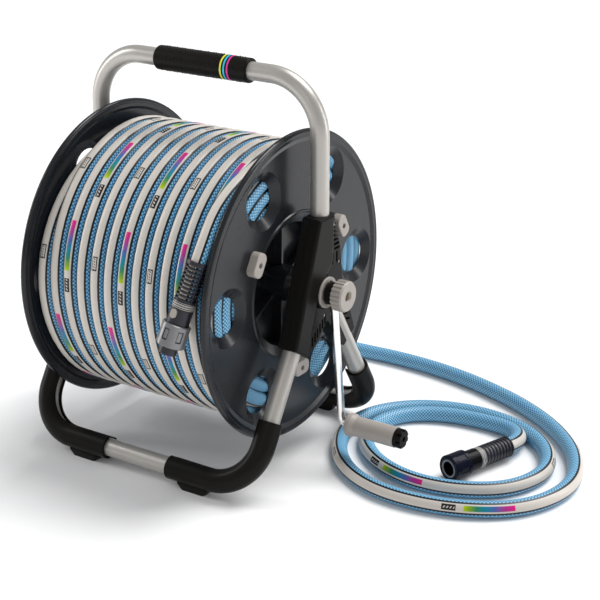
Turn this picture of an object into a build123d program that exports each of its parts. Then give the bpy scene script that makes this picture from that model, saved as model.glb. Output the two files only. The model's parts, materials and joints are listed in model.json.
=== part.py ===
from build123d import *
from math import cos, pi, radians, sin, tan
import os

# Garden hose reel on a bent-tube stand.  Millimetres, +Z up, the floor is z = 0.
# X runs along the reel's axle with the crank at +X, and the front of the stand is -Y.
# The origin is on the floor, below the middle of the stand's and crank's overall box.

# ---------------------------------------------------------------- driving dimensions
axle_height = 206.0          # axle centre above the floor
clearance = 0.15             # gap between fixed pieces that nest
running = 0.05               # radial gap of a shaft in its bush
free_gap = 0.4               # gap between pieces that move past each other

# frame tube
tube_d = 20.0
tube_wall = 1.2
leg_x = 147.5                # tube centre from the reel's middle plane
handle_y = 6.0
handle_rise = 228.0          # handle bar centre above the axle
handle_bend = 60.0
foot_bend = 50.0
foot_rise = 19.4             # foot bar centre above the floor
front_foot_y = -130.0
rear_foot_y = 126.0

# hose
hose_d = 18.0
hose_turns = 12              # turns in a full layer
turn_pitch = 18.4
winding_r = 155.5            # outside of the wound hose

# drum
core_r = 75.0
core_wall = 2.5
flange_r = 172.0
plate_in = 117.5             # inner face of the flange plate from the middle plane
plate_t = 3.5
rim_bead = 5.0               # radial depth of the rolled rim
rim_in = 1.0                 # how far the rim stands inside the plate
rim_out = 5.5                # and how far it reaches outside the plate's inner face
recess_r = 81.0              # mouth of the hub recess
recess_depth = 29.0
cup_wall = 3.0
hub_r = 20.0
hole_ring_r = 126.0
hole_count = 6
hole_r = 21.0
dish_r = 32.0
dish_depth = 7.0
clip_ring_r = 95.0
clip_count = 3
clip_size = (17.0, 27.0, 10.0)     # radial, tangential, axial
axle_r = 8.0
pipe_r = 9.0
pipe_bore = 6.0
pipe_bend = 14.0
pipe_reach = 14.0            # how far the pipe enters the inlet elbow

# brackets
inner_shell = 10.5           # from the tubes' middle plane to the inner face
web_shell = 8.5              # and to the outside of the web
column_shell = 13.5          # and to the outside of the column
seam_gap = 0.1               # half the gap between the two shells
housing_wall = 3.5           # plastic beside a tube
column_top = 84.0            # how far the column reaches above the axle
front_housing = 56.0         # how far below the axle the front leg's housing ends
rear_housing = 72.0
shell_round = 2.5
column_round = 3.0
inner_chamfer = 1.2
bush_wall = 6.0
boss_wall = 5.0              # the round boss around the bush
bezel_t = 2.0
bezel_r = 17.2

# crank
crank_r = 154.0              # axle centre to grip centre
crank_angle = -87.0          # degrees from +Y in the YZ plane
crank_hub_l = 11.0
crank_hub_r = 12.5
rod_d = 9.0
rod_lean = 7.0               # how far the rod leans out over its length
rod_bend = 9.0
grip_l = 61.0
grip_r = 11.5
grip_cap_l = 9.0
knob_r = 17.2
knob_l = 13.0
knob_teeth = 22
tooth_r = 1.3                # radius of a groove between the knob's teeth
insert_r = 7.0

# handle grip
handle_grip_l = 122.0
handle_grip_r = 13.5
band_w = 2.2
band_count = 3
band_pitch = 4.4
band_x = 34.0

# corner covers and feet
cover_wall = 3.2
cover_bar_end = 43.0         # where the cover ends on the bar, from the middle plane
cover_leg_reach = 76.0       # where it ends up the leg
cover_slot = 12.0
pad_x = 76.0
pad_l = 40.0
pad_w = 20.0
pad_taper_h = 7.0            # height of the pad's tapered foot
pad_corner = 4.0

# inlet swivel
inlet_x = 190.0              # hose centre from the middle plane
inlet_angle = -50.0          # outlet direction, degrees from +Y
inlet_r = 15.0
inlet_spigot = 24.0          # axle centre to the hose's end
inlet_nut_r = 14.0
inlet_nut_l = 22.0
spigot_r = 10.0

# hose couplings
relief_l = 50.0
relief_r = 11.8
relief_taper = 0.8           # how much slimmer the relief is at its hose end
coupler_r = 12.0
coupler_l = 16.0             # the part in front of the sliding collar
collar_r = 15.0
collar_l = 24.0
collar_travel = 5.0
mouth_r = 8.2
mouth_depth = 14.0
tip_r = 9.5
tip_l = 9.0

# ---------------------------------------------------------------- derived sizes
tube_r = tube_d / 2
bracket_in = leg_x - inner_shell                   # bracket faces from the middle plane
web_out = leg_x + web_shell
column_out = leg_x + column_shell
pipe_end_x = column_out + pipe_reach
hose_r = hose_d / 2
plate_out = plate_in + plate_t
lean = radians(31.8)
lean_up = Vector(0, sin(lean), cos(lean))          # up a front leg
crank_x = column_out + bezel_t + 0.5           # inner face of the crank hub
rod_x = crank_x + crank_hub_l / 2
knob_x = crank_x + crank_hub_l + free_gap
grip_x = rod_x + rod_lean + rod_bend + free_gap
grip_end = grip_x + grip_l + grip_cap_l
inlet_end = inlet_x + inlet_r - 3
reel_x = (inlet_end - grip_end) / 2                # centres the overall box on X = 0
cover_r = tube_r + clearance + cover_wall
leg_top = 22.0                                     # leg tubes end this far below the axle
X = Vector(1, 0, 0)

os.makedirs("parts", exist_ok=True)


def save(name, builder):
    """Label a finished piece and write it to its own file."""
    builder.part.label = name
    export_step(builder.part, f"parts/{name}.step")


def at(x, y, z):
    """A point given from the reel's middle on the axle."""
    return Vector(reel_x + x, y, axle_height + z)


def side_plane(x):
    """The YZ plane at x from the reel's middle, centred on the axle; its X is +Y."""
    return Plane(origin=at(x, 0, 0), x_dir=(0, 1, 0), z_dir=(1, 0, 0))


def radial_section(angle=90.0):
    """A plane through the axle for half sections: its X is +X and its Y is outward."""
    outward = Vector(0, cos(radians(angle)), sin(radians(angle)))
    return Plane(origin=at(0, 0, 0), x_dir=X, z_dir=X.cross(outward))


def leg_plane(foot_y):
    """The leaning plane of a foot loop: X along the bar, Y up the legs."""
    up = Vector(0, -lean_up.Y if foot_y > 0 else lean_up.Y, lean_up.Z)
    return Plane(origin=(reel_x, foot_y, foot_rise), x_dir=X, z_dir=X.cross(up))


axle_line = Axis(at(0, 0, 0), X)
middle = Plane.YZ.offset(reel_x)

# ---------------------------------------------------------------- frame tubes
with BuildPart() as handle_tube:
    with BuildLine(Plane(origin=at(0, handle_y, 0), x_dir=X, z_dir=(0, -1, 0))) as handle_path:
        FilletPolyline(
            (-leg_x, leg_top),
            (-leg_x, handle_rise),
            (leg_x, handle_rise),
            (leg_x, leg_top),
            radius=handle_bend,
        )
    with BuildSketch(Plane(origin=handle_path.line @ 0, z_dir=handle_path.line % 0)):
        Circle(tube_r)
        Circle(tube_r - tube_wall, mode=Mode.SUBTRACT)
    sweep(path=handle_path.line)
save("handle_tube", handle_tube)

leg_length = (axle_height - foot_rise - leg_top) / cos(lean)
for foot_name, foot_y in (("front", front_foot_y), ("rear", rear_foot_y)):
    with BuildPart() as leg_tube:
        with BuildLine(leg_plane(foot_y)) as leg_path:
            FilletPolyline(
                (-leg_x, leg_length),
                (-leg_x, 0),
                (leg_x, 0),
                (leg_x, leg_length),
                radius=foot_bend,
            )
        with BuildSketch(Plane(origin=leg_path.line @ 0, z_dir=leg_path.line % 0)):
            Circle(tube_r)
            Circle(tube_r - tube_wall, mode=Mode.SUBTRACT)
        sweep(path=leg_path.line)
    save(f"{foot_name}_leg_tube", leg_tube)

# ---------------------------------------------------------------- handle grip
grip_plane = Plane(origin=at(-handle_grip_l / 2, handle_y, handle_rise), x_dir=(0, 1, 0), z_dir=X)
with BuildPart() as handle_grip:
    with BuildSketch(grip_plane):
        Circle(handle_grip_r)
        Circle(tube_r + clearance, mode=Mode.SUBTRACT)
    extrude(amount=handle_grip_l)
    grip_rims = handle_grip.edges().filter_by(GeomType.CIRCLE)
    fillet(grip_rims.filter_by(lambda e: e.radius > handle_grip_r - 0.1), radius=1.6)
    for band in range(band_count):
        band_start = handle_grip_l / 2 + band_x + (band - 1) * band_pitch - band_w / 2
        with BuildSketch(grip_plane.offset(band_start)):
            Circle(handle_grip_r + 1)
            Circle(handle_grip_r - 0.8, mode=Mode.SUBTRACT)
        extrude(amount=band_w, mode=Mode.SUBTRACT)
save("handle_grip", handle_grip)

with BuildPart() as grip_bands:
    for band in range(band_count):
        band_start = handle_grip_l / 2 + band_x + (band - 1) * band_pitch - band_w / 2
        with BuildSketch(grip_plane.offset(band_start + clearance / 2)):
            Circle(handle_grip_r + 0.2)
            Circle(handle_grip_r - 0.8 + clearance / 2, mode=Mode.SUBTRACT)
        extrude(amount=band_w - clearance)
save("grip_bands", grip_bands)

# ---------------------------------------------------------------- corner covers with feet
for foot_name, foot_y in (("front", front_foot_y), ("rear", rear_foot_y)):
    for side_name, side in (("left", -1), ("right", 1)):
        plane = leg_plane(foot_y)
        with BuildPart() as corner_cover:
            with BuildLine(plane) as cover_path:
                FilletPolyline(
                    (side * cover_bar_end, 0),
                    (side * leg_x, 0),
                    (side * leg_x, cover_leg_reach),
                    radius=foot_bend,
                )
            section = Plane(
                origin=cover_path.line @ 0, x_dir=plane.y_dir, z_dir=cover_path.line % 0
            )
            with BuildSketch(section):
                Circle(cover_r)
                Circle(tube_r + clearance, mode=Mode.SUBTRACT)
                with Locations((cover_r, 0)):
                    Rectangle(2 * (cover_r - 4), cover_slot, mode=Mode.SUBTRACT)
            sweep(path=cover_path.line)
            # the foot pad under the bar, tapered at both ends
            pad_foot = Plane(origin=(reel_x + side * pad_x, foot_y, 0), x_dir=X, z_dir=(0, 0, 1))
            with BuildSketch(pad_foot):
                RectangleRounded(pad_l - 8, pad_w - 4, pad_corner)
            with BuildSketch(pad_foot.offset(pad_taper_h)):
                RectangleRounded(pad_l, pad_w, pad_corner)
            loft()
            with BuildSketch(pad_foot.offset(pad_taper_h)):
                RectangleRounded(pad_l, pad_w, pad_corner)
            extrude(amount=foot_rise - pad_taper_h)
            bar_centre = (reel_x + side * pad_x, foot_y, foot_rise)
            with BuildSketch(Plane(origin=bar_centre, x_dir=(0, 1, 0), z_dir=X)):
                Circle(tube_r + clearance)
            extrude(amount=pad_l / 2 + 1, both=True, mode=Mode.SUBTRACT)
        save(f"{foot_name}_{side_name}_corner", corner_cover)

# ---------------------------------------------------------------- side brackets
# outline of a bracket in the YZ plane, from the axle: a column along the handle leg and the
# front leg, a web behind it and an arm down the rear leg
front_end = (front_foot_y + (axle_height - foot_rise - front_housing) * tan(lean), -front_housing)
rear_end = (rear_foot_y - (axle_height - foot_rise - rear_housing) * tan(lean), -rear_housing)
wrap = tube_r + housing_wall                         # housing half width across a leg
front_outer = (front_end[0] - wrap * cos(lean), front_end[1] + wrap * sin(lean))
front_inner = (front_end[0] + wrap * cos(lean), front_end[1] - wrap * sin(lean))
rear_outer = (rear_end[0] + wrap * cos(lean), rear_end[1] + wrap * sin(lean))
rear_inner = (rear_end[0] - wrap * cos(lean), rear_end[1] - wrap * sin(lean))
top_front = (handle_y - tube_r - housing_wall - 5.0, column_top)
top_back = (handle_y + tube_r + housing_wall + 1.0, column_top)
bracket_outline = [
    top_front,
    top_back,
    (34.0, 42.0),
    (39.0, 4.0),
    rear_outer,
    rear_inner,
    (9.0, -36.0),
    (-14.0, -58.0),
    front_inner,
    front_outer,
]
column_outline = [
    top_front,
    (top_back[0] - 5.0, column_top),
    (top_back[0] - 8.0, 30.0),
    (-8.0, 12.0),
    (-24.0, -18.0),
    front_inner,
    front_outer,
]
ladder_slots = 7
low_slots = 6
arm_slots = 5
slot_depth = 3.5
slot_reach = 8.0                                     # past the outside of the shell
# screws that clamp the two shells of each bracket, driven from the inside
screw_places = [(22.0, 70.0), (33.0, 24.0), (4.0, -29.0)]
screw_r = 2.0
screw_head_r = 3.6
screw_head_t = 2.4
bush_r = {"left": pipe_r + running + bush_wall, "right": axle_r + running + bush_wall}


for side_name, side in (("left", -1), ("right", 1)):
    # the room taken by the tubes and the bush, cut from both shells
    with BuildPart() as sockets:
        with BuildSketch(Plane(origin=at(side * leg_x, handle_y, leg_top), x_dir=X, z_dir=(0, 0, 1))):
            Circle(tube_r + clearance)
        extrude(amount=column_top)
        for foot_y in (front_foot_y, rear_foot_y):
            loop = leg_plane(foot_y)
            foot = Vector(reel_x + side * leg_x, foot_y, foot_rise)
            with BuildSketch(Plane(origin=foot, x_dir=X, z_dir=loop.y_dir)):
                Circle(tube_r + clearance)
            extrude(amount=leg_length + 1.0)
        with BuildSketch(side_plane(side * leg_x)):
            Circle(bush_r[side_name] + clearance)
            with Locations(*screw_places):
                Circle(screw_r + clearance)
        extrude(amount=20, both=True)

    seam = side_plane(side * (leg_x + seam_gap))
    with BuildPart() as bracket_outer:
        # the column over the handle leg and the front leg, rounded along its outer edges
        with BuildSketch(seam):
            with BuildLine():
                Polyline(*column_outline, close=True)
            make_face()
        extrude(amount=side * (column_shell - seam_gap))
        outer_face = bracket_outer.faces().sort_by(Axis.X)[-1 if side > 0 else 0]
        fillet(outer_face.edges(), radius=column_round)
        # the web behind it
        with BuildSketch(seam) as web:
            with BuildLine():
                Polyline(*bracket_outline, close=True)
            make_face()
            fillet(web.vertices(), radius=shell_round)
        extrude(amount=side * (web_shell - seam_gap))
        with BuildSketch(seam):
            Circle(bush_r[side_name] + boss_wall)
        extrude(amount=side * (column_shell - seam_gap))
        add(sockets.part, mode=Mode.SUBTRACT)
        # ventilation slots moulded into the web
        slot_floor = side_plane(side * (web_out - slot_depth))
        with BuildSketch(slot_floor):
            for step in range(ladder_slots):
                slot_z = column_top - 11.0 - 5.2 * step
                with Locations((top_back[0] + 1.5 + 0.9 * step, slot_z)):
                    Rectangle(10.5, 2.8)
            with Locations((18.5, 31.5), (27.5, 31.5)):
                Rectangle(3.2, 13.0)
            for step in range(low_slots):
                with Locations((4.0 - 5.0 * step, -34.0 - 3.6 * step)):
                    Rectangle(3.0, 11.0)
        extrude(amount=side * slot_reach, mode=Mode.SUBTRACT)
        with BuildSketch(slot_floor):
            for step in range(arm_slots):
                with Locations((30.0 + 4.6 * step, -16.0 - 8.0 * step)):
                    Rectangle(15.0, 2.6, rotation=-12)
        extrude(amount=side * slot_reach, mode=Mode.SUBTRACT)
    save(f"{side_name}_bracket_outer", bracket_outer)

    with BuildPart() as bracket_inner:
        with BuildSketch(side_plane(side * bracket_in)) as inner_web:
            with BuildLine():
                Polyline(*bracket_outline, close=True)
            make_face()
            fillet(inner_web.vertices(), radius=shell_round)
        extrude(amount=side * (inner_shell - seam_gap))
        inner_face = bracket_inner.faces().sort_by(Axis.X)[0 if side > 0 else -1]
        chamfer(inner_face.edges(), length=inner_chamfer)
        add(sockets.part, mode=Mode.SUBTRACT)
    save(f"{side_name}_bracket_inner", bracket_inner)

with BuildPart() as bracket_screws:
    for side in (-1, 1):
        with BuildSketch(side_plane(side * (bracket_in - screw_head_t))):
            with Locations(*screw_places):
                Circle(screw_head_r)
        extrude(amount=side * screw_head_t)
        with BuildSketch(side_plane(side * bracket_in)):
            with Locations(*screw_places):
                Circle(screw_r)
        extrude(amount=side * (web_shell + inner_shell - 1.0))
save("bracket_screws", bracket_screws)

# ---------------------------------------------------------------- bushes and bezel
for side_name, side, shaft_r in (("left", -1, pipe_r), ("right", 1, axle_r)):
    with BuildPart() as bush:
        with BuildSketch(side_plane(side * (bracket_in - 1.0))):
            Circle(bush_r[side_name])
            Circle(shaft_r + running, mode=Mode.SUBTRACT)
        extrude(amount=side * (column_out - bracket_in + 1.0))
    save(f"{side_name}_bush", bush)

with BuildPart() as bezel_ring:
    with BuildSketch(side_plane(column_out)):
        Circle(bezel_r)
        Circle(crank_hub_r + free_gap, mode=Mode.SUBTRACT)
    extrude(amount=bezel_t)
    chamfer(bezel_ring.edges().group_by(Axis.X)[-1], length=0.5)
save("bezel_ring", bezel_ring)

# ---------------------------------------------------------------- drum
core_end = plate_in - 6.0                # the core tube's end
cup_r = core_r - core_wall - clearance
cup_back = plate_out - recess_depth - cup_wall       # the cup's closed side
outlet_x = -70.0                         # where the water pipe leaves through the core
hole_phase = -1.3                        # degrees from +Y
clip_phase = 29.0
clip_start = plate_out + 0.1
clip_screw_r = 1.8
clip_screw_head_r = 3.0
clip_seat = 4.0                          # plastic left under a clip screw's head
clip_screw_grip = 3.0                    # how far a clip screw stands inside the plate
rib_w = 3.0                              # the recess floor's ribs
rib_h = 11.0
core_hole_gap = 0.3
washer_r = 14.0                          # the axle's collar behind the cup
washer_t = 3.9
stud_r = 4.0                             # the axle's reduced end, through the crank and knob


def flange(bore):
    """The right-hand flange: plate, rolled rim, hub recess and dished holes."""
    cup_floor = cup_back + cup_wall
    hub_end = plate_out - 3.0
    with BuildPart() as disc:
        with BuildSketch(radial_section()):
            with BuildLine():
                Polyline(
                    (cup_back, bore),
                    (cup_back, cup_r),
                    (core_end, cup_r),
                    (plate_in, recess_r - 1.0),
                    (plate_in, flange_r - rim_bead - 7.0),
                    (plate_in - rim_in, flange_r - rim_bead - 4.0),
                    (plate_in - rim_in, flange_r - rim_bead),
                )
                ThreePointArc(
                    (plate_in - rim_in, flange_r - rim_bead),
                    (plate_in + (rim_out - rim_in) / 2, flange_r),
                    (plate_in + rim_out, flange_r - rim_bead),
                )
                Polyline(
                    (plate_in + rim_out, flange_r - rim_bead),
                    (plate_in + rim_out, flange_r - rim_bead - 3.5),
                    (plate_out, flange_r - rim_bead - 8.5),
                    (plate_out, recess_r + 3.0),
                    (plate_out + 1.6, recess_r + 2.0),
                    (plate_out + 1.6, recess_r + 0.8),
                    (plate_out - 0.4, recess_r - 0.6),
                    (core_end + 2.0, cup_r - cup_wall),
                    (cup_floor, cup_r - cup_wall),
                    (cup_floor, hub_r),
                    (hub_end, hub_r),
                    (hub_end, bore),
                    (cup_back, bore),
                )
            make_face()
        revolve(axis=axle_line)
        # ribs on the recess floor
        with BuildSketch(side_plane(cup_floor - 0.5)):
            with PolarLocations(cup_r / 2, hole_count, start_angle=hole_phase + 180 / hole_count):
                Rectangle(cup_r - 5, rib_w)
            Circle(hub_r - 1, mode=Mode.SUBTRACT)
        extrude(amount=rib_h + 0.5)
        # the dished holes
        with Locations(side_plane(plate_out - dish_depth)):
            with PolarLocations(hole_ring_r, hole_count, start_angle=hole_phase):
                Cone(hole_r + 3, dish_r + 3, dish_depth, align=(Align.CENTER, Align.CENTER, Align.MIN))
        with Locations(side_plane(plate_out - dish_depth - 0.01)):
            with PolarLocations(hole_ring_r, hole_count, start_angle=hole_phase):
                Cone(
                    hole_r,
                    dish_r,
                    dish_depth + 0.02,
                    align=(Align.CENTER, Align.CENTER, Align.MIN),
                    mode=Mode.SUBTRACT,
                )
        # screw holes of the clips
        with BuildSketch(side_plane(plate_in - 1)):
            with PolarLocations(clip_ring_r, clip_count, start_angle=clip_phase):
                Circle(clip_screw_r + clearance)
        extrude(amount=plate_t + 2, mode=Mode.SUBTRACT)
    return disc.part


for side_name, side, bore in (("left", -1, pipe_r + clearance), ("right", 1, axle_r + clearance)):
    with BuildPart() as drum_flange:
        add(flange(bore) if side > 0 else mirror(flange(bore), about=middle))
    save(f"{side_name}_flange", drum_flange)

    with BuildPart() as flange_clips:
        with BuildSketch(side_plane(side * clip_start)) as clip_shape:
            with PolarLocations(clip_ring_r, clip_count, start_angle=clip_phase):
                RectangleRounded(clip_size[0], clip_size[1], 7.0)
        extrude(amount=side * clip_size[2])
        fillet(flange_clips.faces().sort_by(Axis.X)[-clip_count:].edges() if side > 0
               else flange_clips.faces().sort_by(Axis.X)[:clip_count].edges(), radius=1.5)
        with BuildSketch(side_plane(side * clip_start)):
            with PolarLocations(clip_ring_r, clip_count, start_angle=clip_phase):
                Circle(clip_screw_r + clearance)
        extrude(amount=side * clip_size[2], mode=Mode.SUBTRACT)
        with BuildSketch(side_plane(side * (clip_start + clip_seat))):
            with PolarLocations(clip_ring_r, clip_count, start_angle=clip_phase):
                Circle(clip_screw_head_r + clearance)
        extrude(amount=side * clip_size[2], mode=Mode.SUBTRACT)
    save(f"{side_name}_flange_clips", flange_clips)

    with BuildPart() as clip_screws:
        with BuildSketch(side_plane(side * (plate_in - clip_screw_grip))):
            with PolarLocations(clip_ring_r, clip_count, start_angle=clip_phase):
                Circle(clip_screw_r)
        extrude(amount=side * (clip_start + clip_seat + 0.2 - plate_in + clip_screw_grip))
        with BuildSketch(side_plane(side * (clip_start + clip_seat + 0.1))):
            with PolarLocations(clip_ring_r, clip_count, start_angle=clip_phase):
                Circle(clip_screw_head_r)
        extrude(amount=side * 2.0)
    save(f"{side_name}_clip_screws", clip_screws)

with BuildPart() as drum_core:
    with BuildSketch(side_plane(-core_end)):
        Circle(core_r)
        Circle(core_r - core_wall, mode=Mode.SUBTRACT)
    extrude(amount=2 * core_end)
    with BuildSketch(Plane(origin=at(outlet_x, 0, 0), x_dir=X, z_dir=(0, 0, 1))):
        Circle(pipe_r + core_hole_gap)
    extrude(amount=core_r + 5, mode=Mode.SUBTRACT)
save("drum_core", drum_core)

with BuildPart() as drive_axle:
    with BuildSketch(side_plane(cup_back - seam_gap)):
        Circle(washer_r)
    extrude(amount=-washer_t)
    with BuildSketch(side_plane(cup_back - washer_t)):
        Circle(axle_r)
    extrude(amount=crank_x - cup_back + washer_t)
    with BuildSketch(side_plane(crank_x)):
        Circle(stud_r)
    extrude(amount=crank_hub_l + knob_l - 5.0)
save("drive_axle", drive_axle)

with BuildPart() as water_pipe:
    with BuildLine(radial_section()) as water_path:
        FilletPolyline((-pipe_end_x, 0), (outlet_x, 0), (outlet_x, core_r - 0.6), radius=pipe_bend)
    with BuildSketch(Plane(origin=water_path.line @ 0, z_dir=water_path.line % 0)):
        Circle(pipe_r)
        Circle(pipe_bore, mode=Mode.SUBTRACT)
    sweep(path=water_path.line)
save("water_pipe", water_pipe)

# ---------------------------------------------------------------- crank
crank_dir = Vector(0, cos(radians(crank_angle)), sin(radians(crank_angle)))
crank_plane = Plane(origin=at(0, 0, 0), x_dir=X, z_dir=X.cross(crank_dir))
grip_line = Axis(at(0, 0, 0) + crank_dir * crank_r, X)

with BuildPart() as crank_arm:
    with BuildLine(crank_plane) as arm_path:
        FilletPolyline(
            (rod_x, 5.0), (rod_x + rod_lean, crank_r), (grip_x + grip_l - 2.0, crank_r), radius=rod_bend
        )
    with BuildSketch(Plane(origin=arm_path.line @ 0, z_dir=arm_path.line % 0)):
        Circle(rod_d / 2)
    sweep(path=arm_path.line)
save("crank_arm", crank_arm)

with BuildPart() as crank_hub:
    with BuildSketch(side_plane(crank_x + 0.1)):
        Circle(crank_hub_r)
        Circle(stud_r + clearance, mode=Mode.SUBTRACT)
    extrude(amount=crank_hub_l - 0.1)
    chamfer(crank_hub.edges().filter_by(lambda e: e.length > 2 * pi * (crank_hub_r - 1)), length=0.8)
    with BuildSketch(Plane(origin=arm_path.line @ 0 - crank_dir * 0.2, z_dir=arm_path.line % 0)):
        Circle(rod_d / 2 + clearance)
    extrude(amount=crank_hub_r * 2, mode=Mode.SUBTRACT)
save("crank_hub", crank_hub)

with BuildPart() as crank_grip:
    with BuildSketch(crank_plane):
        with BuildLine():
            Polyline(
                (grip_x, crank_r + rod_d / 2 + free_gap),
                (grip_x, crank_r + grip_r + 0.5),
                (grip_x + 1.5, crank_r + grip_r + 1.8),
                (grip_x + 6.0, crank_r + grip_r + 1.8),
                (grip_x + 11.0, crank_r + grip_r - 0.2),
                (grip_x + grip_l, crank_r + grip_r),
                (grip_x + grip_l, crank_r + rod_d / 2 + free_gap),
                close=True,
            )
        make_face()
    revolve(axis=grip_line)
save("crank_grip", crank_grip)

grip_end_plane = Plane(origin=at(grip_x + grip_l, 0, 0) + crank_dir * crank_r, x_dir=(0, 1, 0), z_dir=X)
with BuildPart() as grip_end_cap:
    with BuildSketch(grip_end_plane):
        Circle(grip_r - 0.6)
    extrude(amount=grip_cap_l)
    chamfer(grip_end_cap.edges().group_by(Axis.X)[-1], length=1.2)
    with BuildSketch(grip_end_plane.offset(grip_cap_l - 5.0)):
        with PolarLocations(grip_r - 1.6, 8):
            Circle(1.7)
        Circle(3.0)
    extrude(amount=8.0, mode=Mode.SUBTRACT)
save("grip_end_cap", grip_end_cap)

with BuildPart() as crank_knob:
    with BuildSketch(side_plane(knob_x)):
        Circle(knob_r)
        with PolarLocations(knob_r + 0.25, knob_teeth):
            Circle(tooth_r, mode=Mode.SUBTRACT)
        Circle(insert_r, mode=Mode.SUBTRACT)
    extrude(amount=knob_l - 4.5)
    with BuildSketch(side_plane(knob_x + knob_l - 4.5)):
        Circle(knob_r)
        with PolarLocations(knob_r + 0.25, knob_teeth):
            Circle(tooth_r, mode=Mode.SUBTRACT)
        Circle(stud_r + 1.2, mode=Mode.SUBTRACT)
    extrude(amount=2.5)
    with BuildSketch(side_plane(knob_x + knob_l - 2.0)):
        Circle(knob_r - 0.4)
        Circle(stud_r + 1.2, mode=Mode.SUBTRACT)
    extrude(amount=2.0, taper=30)
save("crank_knob", crank_knob)

with BuildPart() as knob_insert:
    with BuildSketch(side_plane(knob_x + 0.3)):
        Circle(insert_r - clearance)
        Circle(stud_r + running, mode=Mode.SUBTRACT)
    extrude(amount=knob_l - 5.0)
save("knob_insert", knob_insert)

# ---------------------------------------------------------------- inlet swivel
outlet_dir = Vector(0, cos(radians(inlet_angle)), sin(radians(inlet_angle)))
outlet_plane = Plane(origin=at(-inlet_x, 0, 0), x_dir=X, z_dir=outlet_dir)
seal_groove_r = pipe_r + 1.8
seal_w = 2.4
seal_places = (pipe_end_x - 9.5, pipe_end_x - 4.5)
with BuildPart() as inlet_elbow:
    with BuildSketch(side_plane(-column_out - 0.1)):
        Circle(inlet_r + 4.0)
    extrude(amount=-3.0)
    with BuildSketch(side_plane(-column_out - 0.1)):
        Circle(inlet_r)
    extrude(amount=-(inlet_end - column_out - 0.1))
    chamfer(inlet_elbow.edges().group_by(Axis.X)[0], length=2.5)
    with BuildSketch(outlet_plane):
        Circle(spigot_r)
    extrude(amount=inlet_spigot)
    with BuildSketch(side_plane(-column_out)):
        Circle(pipe_r + running)
    extrude(amount=-(pipe_end_x + 0.5 - column_out), mode=Mode.SUBTRACT)
    with BuildSketch(side_plane(-column_out)):
        Circle(pipe_bore)
    extrude(amount=-(inlet_x - column_out), mode=Mode.SUBTRACT)
    with BuildSketch(outlet_plane):
        Circle(pipe_bore)
    extrude(amount=inlet_spigot + 1, mode=Mode.SUBTRACT)
    for seal_x in seal_places:
        with BuildSketch(side_plane(-seal_x)):
            Circle(seal_groove_r)
        extrude(amount=seal_w / 2, both=True, mode=Mode.SUBTRACT)
save("inlet_elbow", inlet_elbow)

with BuildPart() as pipe_seals:
    for seal_x in seal_places:
        with BuildSketch(side_plane(-seal_x)):
            Circle(seal_groove_r - 0.05)
            Circle(pipe_r + running, mode=Mode.SUBTRACT)
        extrude(amount=seal_w / 2 - 0.1, both=True)
save("pipe_seals", pipe_seals)

with BuildPart() as inlet_nut:
    with BuildSketch(outlet_plane.offset(inlet_r + 1.0)):
        Circle(inlet_nut_r)
        with PolarLocations(inlet_nut_r + 0.3, 14):
            Circle(1.4, mode=Mode.SUBTRACT)
        Circle(spigot_r + clearance, mode=Mode.SUBTRACT)
    extrude(amount=inlet_nut_l)
save("inlet_nut", inlet_nut)

# ---------------------------------------------------------------- hose on the drum
with BuildPart() as wound_hose:
    winding_end = hose_turns * turn_pitch / 2 + 1.4
    winding_start_r = core_r + 2 * clearance
    with BuildSketch(radial_section()) as winding:
        with Locations((0, (winding_r + winding_start_r) / 2)):
            Rectangle(2 * winding_end, winding_r - winding_start_r)
        fillet(winding.vertices().group_by(Axis.Z)[-1], radius=7.0)
    revolve(axis=axle_line)
save("wound_hose", wound_hose)

# the nozzle lies along the front of the winding, touching it a little below its hose end
nozzle_touch_angle = 160.6
nozzle_touch_r = winding_r + relief_r + 0.5
nozzle_touch_l = 15.0                    # from the hose end of the nozzle to that point
nozzle_slant = -0.19                     # drift towards the middle, per millimetre
nozzle_touch_x = 102.0
touch = radians(nozzle_touch_angle)
nozzle_dir = Vector(nozzle_slant, -sin(touch), cos(touch)).normalized()
nozzle_touch = at(nozzle_touch_x, nozzle_touch_r * cos(touch), nozzle_touch_r * sin(touch))
nozzle_start = nozzle_touch - nozzle_dir * nozzle_touch_l


def on_drum(x, radius, angle):
    """A point at a radius and angle about the axle."""
    return at(x, radius * cos(radians(angle)), radius * sin(radians(angle)))


def corner_radii(points):
    """The fillet of each corner of a hose route: 0.45 of its shorter run over tan(half turn)."""
    radii = []
    for before, corner, after in zip(points, points[1:], points[2:]):
        run_in, run_out = corner - before, after - corner
        turn = run_in.get_angle(run_out)
        radii.append(0.45 * min(run_in.length, run_out.length) / tan(radians(turn / 2)))
    return radii


hose_insert = 10.0                       # how far a hose goes into its relief
tail_route = [
    on_drum(101.6, 147.0, 88.0),
    on_drum(102.0, 149.0, 99.5),
    on_drum(102.8, 154.0, 112.0),
    on_drum(103.7, 160.5, 125.0),
    on_drum(104.6, 166.5, 138.0),
    nozzle_start - nozzle_dir * 14.0,
    nozzle_start + nozzle_dir * hose_insert,
]
tail_radii = corner_radii(tail_route)
print("hose tail radii", [round(r) for r in tail_radii])
with BuildPart() as hose_tail:
    with BuildLine() as tail_path:
        FilletPolyline(*tail_route, radius=tail_radii)
    with BuildSketch(Plane(origin=tail_path.line @ 0, z_dir=tail_path.line % 0)):
        Circle(hose_r)
    sweep(path=tail_path.line)
tail_length = sum(edge.length for edge in tail_path.edges())
print("hose tail volume ratio", hose_tail.part.volume / (pi * hose_r**2 * tail_length))
save("hose_tail", hose_tail)

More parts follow.
